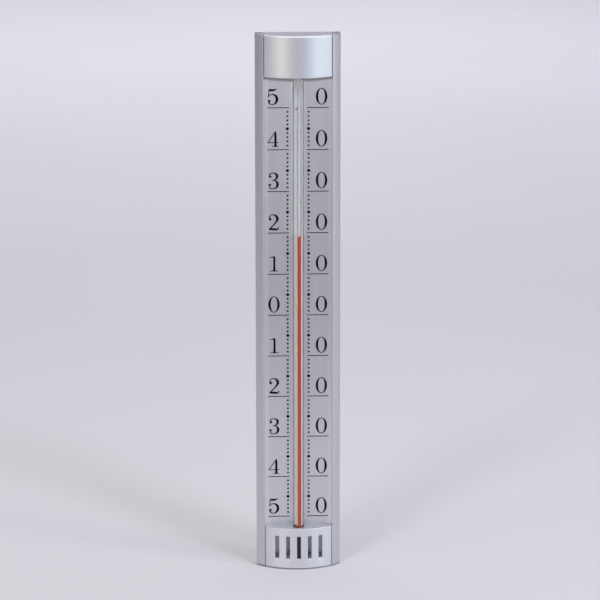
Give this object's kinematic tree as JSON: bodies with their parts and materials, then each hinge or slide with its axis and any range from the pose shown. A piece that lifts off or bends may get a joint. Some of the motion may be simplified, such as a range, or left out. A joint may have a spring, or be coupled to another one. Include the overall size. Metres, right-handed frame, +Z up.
{
  "type": "wall thermometer",
  "caption": "Upright liquid-in-glass thermometer: arched aluminium profile with two rails, flat scale plate, glass tube with red spirit, plastic top cap and slotted bulb cover.",
  "frame": {"origin": "middle of the foot, at the centre of the width and the depth", "axes": "+Z up along the tube, +X to the reader's right, -Y out of the scale towards the reader"},
  "size_m": [0.04, 0.0136, 0.259],
  "materials": {
    "profile_aluminium": "extruded, satin anodised",
    "plate_aluminium": "fine brushed and anodised",
    "scale_ink": "screen printed ink",
    "tube_glass": "clear drawn glass",
    "spirit": "red dyed spirit",
    "rubber": "moulded, matt",
    "shell_plastic": "moulded, satin silver paint",
    "screw_steel": "zinc plated"
  },
  "bodies": {
    "housing": {"profile": "profile_aluminium", "scale_plate": "plate_aluminium", "scale_marks": "scale_ink", "glass_tube": "tube_glass", "bulb_spirit": "spirit", "spirit_column": "spirit", "upper_sleeve": "rubber", "lower_sleeve": "rubber", "bulb_pad": "rubber", "top_cap": "shell_plastic", "bulb_cover": "shell_plastic", "cap_screws": "screw_steel", "cover_screws": "screw_steel"},
    "spirit_top": {"meniscus": "spirit"}
  },
  "joints": [
    {"name": "spirit_rise", "type": "slide", "parent": "housing", "child": "spirit_top", "axis": [0, 0, 1], "range_m": [-0.1392, 0.0608], "deforming": ["spirit_column"]}
  ]
}
